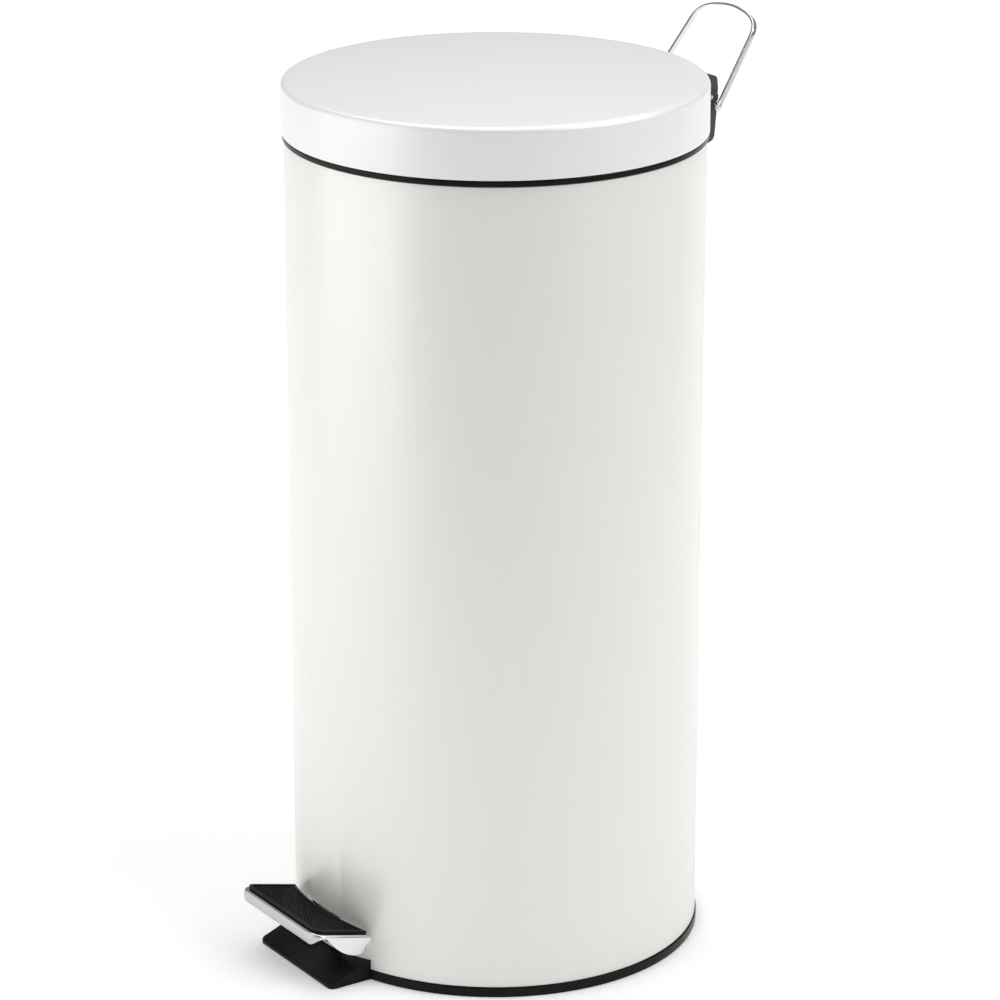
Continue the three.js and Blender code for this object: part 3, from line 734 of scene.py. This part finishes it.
def bracket(mat):
    """Steel bracket behind the lid's skirt, whose arm holds the push rod's upper hook."""
    y, z = EYE
    outside = LID_R - SHEET - GAP
    ring = rounded([(144, 587), (outside, 587), (outside, 601.8), (144, 601.8)], 0.3, 3)
    flange = lathe("lid_arm", ring, 256)
    combine(flange, [block(-26, 26, 100, 160, 580, 610)], "INTERSECT")
    side = rounded(
        [(144.6, 587), (141, 586.5, 1), (139.4, 583, 1), (139.3, z - 3, 2), (136.5, z - 5.5, 3),
         (132.5, z - 5.5, 3), (129.7, z - 2, 3), (129.9, z + 4, 2), (134, 592, 3), (140, 601.5, 1),
         (144.6, 601.5)]
    )
    arm = bevel(prism("arm", side, -2, 2), 0.4, 2, 40)
    combine(flange, [arm], "UNION")
    combine(flange, [drill(ROD_R + GAP, -4, 4, EYE), *back_holes(LID_SCREW_Z)])
    piece(flange, "lid_bracket", mat)


def backing(mat):
    """Curved steel plate behind the shell, which the lower block's screws pull on."""
    outside = SHELL_R - SHEET - GAP
    ring = rounded([(142.2, 556), (outside, 556), (outside, 571.6), (142.2, 571.6)], 0.4, 3)
    plan = rounded([(-28, 556), (28, 556), (28, 571.6), (-28, 571.6)], 3)
    obj = lathe("clamp_plate", ring, 256)
    combine(obj, [prism("plan", plan, 100, 160, "Y")], "INTERSECT")
    piece(combine(obj, back_holes(BLOCK_SCREW_Z)), "hinge_backing_plate", mat)


def screw(name, node, mat):
    """A pan-head screw along Y, with a cross recess in its head."""
    x = middle(node, "x")
    z = middle(node, "z")
    head = low(node, "y")
    tip = high(node, "y")
    profile = rounded(
        [(0, head), (4, head, 1.6), (4, head + 2.2, 0.2), (1.9, head + 2.2, 0.1),
         (1.9, tip - 1), (1.2, tip), (0, tip)],
        0, 5, loop=False,
    )
    obj = spindle(name, profile, (x, z), "Y")
    long_half = 2.0
    slim_half = 0.45
    recess = [
        block(x - a, x + a, head - 1, head + 1.1, z - b, z + b)
        for a, b in ((long_half, slim_half), (slim_half, long_half))
    ]
    piece(combine(obj, recess), node, mat)


# ---- Lid lifting gear ----


def push_rod(mat):
    """One bent wire: hook, upright and hook, with real bends."""
    y, z = EYE
    route = rounded([(-5, z), (ROD_X, z, 4), (ROD_X, FOOT_Z, 4), (-5, FOOT_Z)], 0, 8, loop=False)
    path = [(a, y, b) for a, b in route]
    obj = sweep("lift_rod", path, circle(ROD_R, steps=24), (0, 1, 0))
    piece(obj, "push_rod", mat)


def plate_z(y):
    """Height of the pedal plate's upper face."""
    return HEAD_FRONT[1] - (y - HEAD_FRONT[0]) * HEAD_SLOPE


def lever(mat):
    """The pressed lever: strap under the pedal, lugs round its pin, arm and ear for the rod."""
    y, z = PIVOT
    thick = 3.0
    under = PEDAL_SHEET / math.cos(math.atan(HEAD_SLOPE)) + GAP

    def top(at):
        return plate_z(at) - under

    side = rounded(
        [(-174, top(-174)), (-174, top(-174) - thick), (-141, top(-141) - thick, 12),
         (-66, z + 3.5, 12), (y + 16, z + 3.5), (y + 16, z + 6.5), (-66, z + 6.5, 12),
         (-141, top(-141), 12)]
    )
    obj = bevel(prism("lever_pressing", side, -LEVER_HALF, LEVER_HALF), 0.5, 2, 40)
    lug = rounded([(y - 14, z + 5), (y - 6, z - 6.4, 6), (y + 6, z - 6.4, 6), (y + 14, z + 5)])
    joined = []
    for x in (-LEVER_HALF, LEVER_HALF - 2.5):
        joined.append(bevel(prism("lug", lug, x, x + 2.5), 0.3, 2, 40))
    arm = rounded([(y, z + 6), (y, z + 3.8), (40, 12.5, 20), (122, 6.5), (122, 12.5),
                   (40, 19.5, 20), (y + 16, z + 6, 8)])
    joined.append(bevel(prism("arm", arm, -4.5, 4.5), 0.6, 2, 40))
    ear = rounded([(112, 7.5), (122, 4.2, 3), (137, 4, 3), (140.2, 7, 3), (140.2, 12.6, 3),
                   (137, 15.4, 3), (122, 15.6, 3), (112, 12.6)])
    joined.append(bevel(prism("ear", ear, -1.5, 1.5), 0.3, 2, 40))
    combine(obj, joined, "UNION")
    holes = [drill(PIN_HOLE_R, -20, 20, PIVOT), rod_slot()]
    holes += [drill(2.2, 20, 50, (x, rivet_y()), "Z") for x in (-RIVET_X, RIVET_X)]
    piece(combine(obj, holes), "pedal_lever", mat)


def rod_slot():
    """The lever's long slot for the rod's lower hook, in line with the pivot."""
    reach = 132.4 - PIVOT[0]
    tilt = math.atan2(FOOT_Z - PIVOT[1], reach)
    radius = ROD_R + 0.75
    half = 3.1 + radius
    corners = [(-half, -radius), (half, -radius), (half, radius), (-half, radius)]
    turned = []
    for a, b in rounded(corners, radius * 0.999, 10):
        turned.append((PIVOT[0] + reach + a * math.cos(tilt) - b * math.sin(tilt),
                       FOOT_Z + 0.1 + a * math.sin(tilt) + b * math.cos(tilt)))
    return prism("slot", turned, -4, 4)


def rivet_y():
    """The rivets' place along the can, 26 mm up the pedal's slope from its front."""
    return HEAD_FRONT[0] + 26 * math.cos(math.atan(HEAD_SLOPE))


def clip(name, node, mat):
    """A push-on clip: a disc with four notches round the pin."""
    x0 = low(node, "x")
    x1 = high(node, "x")
    profile = rounded([(2.8, x0), (5, x0), (5, x1), (2.8, x1)], 0.3, 3)
    ring = spindle(name, profile, PIVOT, "X", 48, loop=True)
    y, z = PIVOT
    notches = []
    for degrees in (45, 135, 225, 315):
        angle = math.radians(degrees)
        spot = (y + 3.1 * math.cos(angle), z + 3.1 * math.sin(angle))
        notches.append(drill(0.6, x0 - 1, x1 + 1, spot))
    piece(combine(ring, notches), node, mat)


# ---- Pedal ----


def pedal_outline(half, front, corner, back_r, steps=12):
    """The pedal's plan from its left back corner, round the front, to its right back corner."""
    back_y = -math.sqrt(back_r * back_r - half * half)
    corners = [(-half, back_y), (-half, front, corner), (half, front, corner), (half, back_y)]
    return rounded(corners, 0, steps, loop=False)


def back_arc(half, back_r, steps=24):
    """Points of the pedal's concave back edge, from right to left, without its ends."""
    sweep_angle = math.asin(half / back_r)
    angles = [sweep_angle * (1 - 2 * k / steps) for k in range(1, steps)]
    return [(back_r * math.sin(a), -back_r * math.cos(a)) for a in angles]


def between(value, knots):
    """A value read from (place, height) knots, on straight lines between them."""
    if value <= knots[0][0]:
        return knots[0][1]
    for (a, first), (b, second) in zip(knots, knots[1:]):
        if value <= b:
            share = (value - a) / (b - a)
            return first + (second - first) * share
    return knots[-1][1]


def flange_depth(x, y):
    """How far the pedal's edge is bent down: a lip in front, a fan-shaped cheek at each side."""
    front = HEAD_FRONT[0]
    into_corner = abs(x) - (HEAD_HALF - 9)
    if y < front + 9.5:
        lip = 9.4
        if into_corner <= 0:
            return lip
        share = min(into_corner / 9, 1)
        return lip - 6.6 * share * share
    fan = ((9.5, 2.8), (13, 6.5), (17, 10.0), (21, 12.6), (26, 14.6), (31, 15.3),
           (35, 14.8), (38, 13.6), (41, 11.4), (43.5, 8.6), (45, 6.0), (46, 3.0))
    return between(y, [(front + back, depth) for back, depth in fan])


def densify(points, step=1.5):
    """Adds points so that none lie further apart than a step."""
    out = []
    for first, second in zip(points, points[1:]):
        parts = max(1, round((second - first).length / step))
        out += [first.lerp(second, k / parts) for k in range(parts)]
    return out + [points[-1]]


def pedal_section(depth, bulge):
    """Across the pedal's bent edge, as (offset outwards, height): outer face, then inner face."""
    sheet = PEDAL_SHEET
    roll = PEDAL_ROLL
    bends = [math.radians(15 * k) for k in range(7)]
    section = [(-roll + roll * math.sin(a), -roll + roll * math.cos(a)) for a in bends]
    for t in (0.25, 0.5, 0.75):
        section.append((bulge * math.sin(math.pi * t), -roll - (depth - roll) * t))
    section += [(-0.15, -depth + 0.25), (-0.55, -depth)]
    section += [(-sheet + 0.4, -depth), (-sheet, -depth + 0.35)]
    bend_in = roll - sheet + 0.2
    for a in reversed(bends):
        section.append((-sheet - bend_in + bend_in * math.sin(a),
                        -sheet - bend_in + bend_in * math.cos(a)))
    return section


def pedal(polished, lip_mat):
    """A pressed pedal: sloping plate, rolled front lip and deep cheeks, all of one sheet."""
    route = densify(pedal_outline(HEAD_HALF, low("pedal_head", "y"), 9, PEDAL_BACK_R))
    verts = []
    faces = []
    rings = []
    for i, here in enumerate(route):
        along = (route[min(i + 1, len(route) - 1)] - route[max(i - 1, 0)]).normalized()
        out = Vector((along.y, -along.x))
        if out.dot(here - Vector((0, -150))) < 0:
            out = -out
        depth = max(flange_depth(here.x, here.y), PEDAL_ROLL + 0.4)
        bulge = 0.35 if here.y < HEAD_FRONT[0] + 1 else 0.0
        ring = []
        for offset, height in pedal_section(depth, bulge):
            place = here + out * offset
            ring.append(len(verts))
            verts.append((place.x, place.y, plate_z(place.y) + height))
        rings.append(ring)
    for before, after in zip(rings, rings[1:]):
        for k in range(len(before) - 1):
            faces.append((before[k], after[k], after[k + 1], before[k + 1]))
    top_back = []
    low_back = []
    for x, y in back_arc(HEAD_HALF - PEDAL_ROLL, PEDAL_BACK_R):
        top_back.append(len(verts))
        verts.append((x, y, plate_z(y)))
        low_back.append(len(verts))
        verts.append((x, y, plate_z(y) - PEDAL_SHEET))
    top_edge = [ring[0] for ring in rings]
    low_edge = [ring[-1] for ring in rings]
    faces.append(tuple(top_edge + top_back))
    faces.append(tuple(low_edge + low_back))
    uppers = [top_edge[-1], *top_back, top_edge[0]]
    lowers = [low_edge[-1], *low_back, low_edge[0]]
    for k in range(len(uppers) - 1):
        faces.append((uppers[k], uppers[k + 1], lowers[k + 1], lowers[k]))
    faces.append(tuple(rings[0]))
    faces.append(tuple(rings[-1]))
    obj = make("pedal_pressing", verts, faces)
    combine(obj, [drill(2.2, 30, 60, (x, rivet_y()), "Z") for x in (-RIVET_X, RIVET_X)])
    piece(obj, "pedal_head", polished, 40)
    brush_lip(obj, lip_mat)


def brush_lip(obj, lip_mat):
    """Gives the pedal's front lip its brushed finish."""
    obj.data.materials.append(lip_mat)
    front = HEAD_FRONT[0] + 4
    for face in obj.data.polygons:
        on_lip = face.center.y / MM < front and abs(face.center.x / MM) < HEAD_HALF - 1.5
        if on_lip and face.normal.y < -0.2:
            face.material_index = 1


def tread(mat):
    """The rubber tread: a raised border round rows of small studs, laid on the sloping plate."""
    half = 48.5
    front = low("pedal_pad", "y")
    border = 2.4
    outer_back = PEDAL_BACK_R + 0.6
    inner_back = PEDAL_BACK_R + 2.6
    plan = [*pedal_outline(half, front, 7, outer_back), *back_arc(half, outer_back)]
    inner = [*pedal_outline(half - border, front + border, 4, inner_back),
             *back_arc(half - border, inner_back)]
    obj = bevel(prism("tread", plan, GAP, 2.4, "Z"), 0.35, 3, 40)
    combine(obj, [prism("tray", inner, 1.6, 5, "Z")])
    studs = prism("studs_area", [(x * 0.985, y) for x, y in inner], 1.0, 5, "Z")
    field = stud_field(half, front, -130)
    combine(field, [studs], "INTERSECT")
    combine(obj, [field], "UNION")
    for vertex in obj.data.vertices:
        vertex.co.z += plate_z(vertex.co.y / MM) * MM
    obj.data.update()
    piece(obj, "pedal_pad", mat)


def stud_field(half, front, back):
    """A slab whose top carries diamond studs in offset rows."""
    pitch = 2.6
    low_z = 1.2
    floor_z = 1.6
    peak_z = 2.35
    shrink = 0.45
    nx = int(2 * half / pitch) + 2
    ny = int((back - front) / (pitch / 2)) + 2
    verts = []
    faces = []
    for j in range(ny + 1):
        for i in range(nx + 1):
            x = -half - pitch / 2 + i * pitch
            verts.append((x, front + j * pitch / 2, floor_z))
    wide = nx + 1
    for j in range(ny):
        for i in range(nx):
            a = j * wide + i
            quad = (a, a + 1, a + wide + 1, a + wide)
            if (i + j) % 2:
                faces.append(quad)
                continue
            cx = sum(verts[v][0] for v in quad) / 4
            cy = sum(verts[v][1] for v in quad) / 4
            top = []
            for v in quad:
                x, y, _ = verts[v]
                top.append(len(verts))
                verts.append((cx + (x - cx) * shrink, cy + (y - cy) * shrink, peak_z))
            faces.append(tuple(top))
            for k in range(4):
                after = (k + 1) % 4
                faces.append((quad[k], quad[after], top[after], top[k]))
    edge = list(range(wide))
    edge += [j * wide + nx for j in range(1, ny + 1)]
    edge += [ny * wide + i for i in range(nx - 1, -1, -1)]
    edge += [j * wide for j in range(ny - 1, 0, -1)]
    lower = []
    for v in edge:
        lower.append(len(verts))
        verts.append((verts[v][0], verts[v][1], low_z))
    for k in range(len(edge)):
        after = (k + 1) % len(edge)
        faces.append((edge[k], edge[after], lower[after], lower[k]))
    faces.append(tuple(lower))
    return make("studs", verts, faces)


def rivet(name, node, mat):
    """A rivet with a round head under the lever and a flush end under the tread."""
    x = middle(node, "x")
    y = rivet_y()
    top = plate_z(y) - 0.2
    under = plate_z(y) - PEDAL_SHEET - GAP - 3.4
    profile = rounded(
        [(0, under - 1.5), (3.4, under - 1.5, 1.2), (3.4, under, 0.2), (1.9, under), (1.9, top),
         (0, top)],
        0, 4, loop=False,
    )
    piece(spindle(name, profile, (x, y), "Z"), node, mat)


# ---- Carrying handle ----


def bezier(start, first, second, end, steps):
    """Points of a cubic curve, without its first."""
    points = []
    for k in range(1, steps + 1):
        t = k / steps
        u = 1 - t
        points.append(start * u**3 + first * 3 * u * u * t + second * 3 * u * t * t + end * t**3)
    return points


def handle(mat):
    """The bail of flat strip, with an eye at each end that turns on a round pin."""
    leg = Vector((41, -1.5))
    shoulder = Vector((35.4, 54))
    arch = Vector((20, 69.4))
    crest = Vector((0, 72))
    half = densify([leg, shoulder], 6)
    half += bezier(shoulder, Vector((34.4, 63)), Vector((30, 66.5)), arch, 14)
    half += bezier(arch, Vector((12.7, 71.1)), Vector((6, 72)), crest, 8)
    line = half + [Vector((-p.x, p.y)) for p in reversed(half[:-1])]
    rise = Vector((0, math.cos(HANDLE_LEAN), math.sin(HANDLE_LEAN)))
    side = Vector((0, -math.sin(HANDLE_LEAN), math.cos(HANDLE_LEAN)))
    centre = Vector((0, *HANDLE))
    path = [centre + Vector((p.x, 0, 0)) + rise * p.y for p in line]
    section = rounded([(-1, -2), (1, -2), (1, 2), (-1, 2)], 0.45, 4)
    obj = sweep("handle_strip", path, section, side)
    ends = []
    for sign in (-1, 1):
        inner, outer = sorted((39.7 * sign, 41.7 * sign))
        ends.append(spindle("eye", pin_profile(3.0, inner, outer, 0.5), HANDLE))
        inner, outer = sorted((28.5 * sign, 42.0 * sign))
        ends.append(spindle("end_pin", pin_profile(1.75, inner, outer, 0.5), HANDLE))
    piece(combine(obj, ends, "UNION"), "carry_handle", mat)


# ---- Inner bucket ----


def bucket(mat):
    """A tapered pail with a rolled flange, two stiffening ribs and a raised base."""
    wall = 1.5
    bottom_r = 113.0

    def wall_r(z):
        return bottom_r + (BUCKET_R - bottom_r) * (z - BUCKET_LOW) / (BUCKET_TOP - BUCKET_LOW)

    def rib(z):
        return [(wall_r(z - 2), z - 2, 0.6), (wall_r(z) + 0.9, z, 1.2), (wall_r(z + 2), z + 2, 0.6)]

    outside = [(0, BUCKET_LOW + 1), (96, BUCKET_LOW + 1, 1), (98, BUCKET_LOW, 1),
               (bottom_r, BUCKET_LOW, 4), *rib(540), *rib(556)]
    outside += [(BUCKET_R, BUCKET_TOP - 2, 1), (BUCKET_R + 6, BUCKET_TOP - 2, 0.9),
                (BUCKET_R + 6, BUCKET_TOP, 0.9)]
    inside = [(BUCKET_R - wall, BUCKET_TOP, 1.2)]
    inside += [(r - wall, z, bend) for r, z, bend in reversed(rib(540) + rib(556))]
    inside += [(bottom_r - wall, BUCKET_LOW + 2.2, 4), (0, BUCKET_LOW + 2.2)]
    obj = lathe("pail", rounded(outside + inside, 0, 5, loop=False), 192, loop=False)
    ears = []
    for x in (-119.4, 117.4):
        ear = rounded([(-6, BUCKET_TOP - 1), (6, BUCKET_TOP - 1), (4, BAIL_Z + 3.4, 2.5),
                       (-4, BAIL_Z + 3.4, 2.5)])
        ears.append(bevel(prism("ear", ear, x, x + 2), 0.3, 2, 40))
    combine(obj, ears, "UNION")
    combine(obj, [drill(1.9, -125, 125, (0, BAIL_Z))])
    piece(obj, "inner_bucket", mat)


def bail_route(start, end, steps):
    """Points of the bail's ring between two angles in degrees."""
    angles = [math.radians(start + (end - start) * k / steps) for k in range(steps + 1)]
    return [(BAIL_R * math.cos(a), BAIL_R * math.sin(a), BAIL_Z) for a in angles]


def bail(mat):
    """Half a ring of wire whose ends turn inwards through the bucket's ears."""
    flat = [(-115.5, 0), (-BAIL_R, 0, 3)]
    flat += [(x, y) for x, y, _ in bail_route(184, 356, 80)]
    flat += [(BAIL_R, 0, 3), (115.5, 0)]
    path = [(a, b, BAIL_Z) for a, b in rounded(flat, 0, 6, loop=False)]
    piece(sweep("pail_bail", path, circle(1.6, steps=20), (0, 0, 1)), "bucket_bail", mat)


def grip(mat):
    """A moulded sleeve on the bail, swollen in the middle and ringed by fine ribs."""
    steps = 120
    section_steps = 28
    route = [Vector(p) for p in bail_route(250, 290, steps)]
    verts = []
    faces = []
    rings = []
    for i, point in enumerate(route):
        share = i / steps
        from_end = min(share, 1 - share, 0.03) / 0.03
        end_round = math.sqrt(max(0, 1 - (1 - from_end) ** 2))
        ribs = 0.22 * (0.5 - 0.5 * math.cos(math.tau * share * 24)) if 0.08 < share < 0.92 else 0.0
        outer = 2.1 + 0.95 * end_round - ribs
        along = (route[min(i + 1, steps)] - route[max(i - 1, 0)]).normalized()
        across = Vector((0, 0, 1)).cross(along)
        ring = []
        for k in range(section_steps):
            angle = math.tau * k / section_steps
            spoke = across * math.cos(angle) + Vector((0, 0, 1)) * math.sin(angle)
            ring.append((len(verts), len(verts) + 1))
            verts += [point + spoke * outer, point + spoke * 1.9]
        rings.append(ring)
    for before, after in zip(rings, rings[1:]):
        for k in range(section_steps):
            n = (k + 1) % section_steps
            faces.append((before[k][0], before[n][0], after[n][0], after[k][0]))
            faces.append((before[k][1], after[k][1], after[n][1], before[n][1]))
    for ring in (rings[0], rings[-1]):
        for k in range(section_steps):
            n = (k + 1) % section_steps
            faces.append((ring[k][0], ring[n][0], ring[n][1], ring[k][1]))
    piece(make("pail_grip", verts, faces), "bail_grip", mat, 60)


def bumper(name, node, mat):
    """A rubber buffer on the rim's shelf, with a round head and a small flange."""
    spot = (middle(node, "x"), middle(node, "y"))
    foot_z = low(node, "z")
    top = high(node, "z")
    profile = rounded(
        [(0, foot_z), (2.6, foot_z, 0.3), (2.6, foot_z + 1.2, 0.4), (2.1, foot_z + 1.8, 0.6),
         (2.1, top - 3, 0.6), (2.6, top - 2.4, 0.6), (2.6, top, 1.8), (0, top)],
        0, 5, loop=False,
    )
    piece(spindle(name, profile, spot, "Z"), node, mat)


# ---- The assembly ----

camera()
studio()
floor()
lacquer_body = lacquer("lacquer_brushed", (0.865, 0.86, 0.815), (0.855, 0.858, 0.828), 0.009)
lacquer_lid = lacquer("lacquer_smooth", (0.875, 0.873, 0.858), (0.866, 0.87, 0.862), 0.004)
black = moulded("plastic_black", (0.003, 0.003, 0.003), (0.006, 0.006, 0.006), 0.27, 0.14)
hinge_black = moulded("plastic_hinge", (0.05, 0.05, 0.052), (0.066, 0.066, 0.069), 0.45, 0.4, 1900)
bucket_grey = moulded("plastic_bucket", (0.075, 0.08, 0.085), (0.095, 0.1, 0.106), 0.5, 0.5)
tread_rubber = rubber()
bright = chrome("chrome_polished", 0.8)
handle_chrome = chrome("chrome_handle", 0.86)
bright_lip = brushed()
steel = plated()

foot_spots = []
for number in range(1, 5):
    node = f"foot_pad_{number}"
    foot_spots.append((middle(node, "x"), middle(node, "y")))
    foot(f"foot_{number}", node, foot_spots[-1], tread_rubber)
shell(lacquer_body)
base(black, foot_spots)
rim(black)
lid(lacquer_lid)
lid_liner(black)
upper_block(hinge_black)
lower_block(hinge_black)
axle("hinge_rod", "hinge_pin", 2.0, HINGE, steel)
bracket(steel)
backing(steel)
for side in ("left", "right"):
    screw(f"screw_lid_{side}", f"lid_screw_{side}", steel)
    screw(f"screw_block_{side}", f"hinge_block_screw_{side}", steel)
    clip(f"clip_{side}", f"pivot_clip_{side}", steel)
    rivet(f"rivet_{side}", f"pedal_rivet_{side}", steel)
for number in range(1, 4):
    bumper(f"buffer_{number}", f"lid_bumper_{number}", tread_rubber)
push_rod(steel)
lever(steel)
axle("pivot_rod", "pedal_pivot_pin", 2.5, PIVOT, steel)
pedal(bright, bright_lip)
tread(tread_rubber)
handle(handle_chrome)
bucket(bucket_grey)
bail(steel)
grip(bucket_grey)
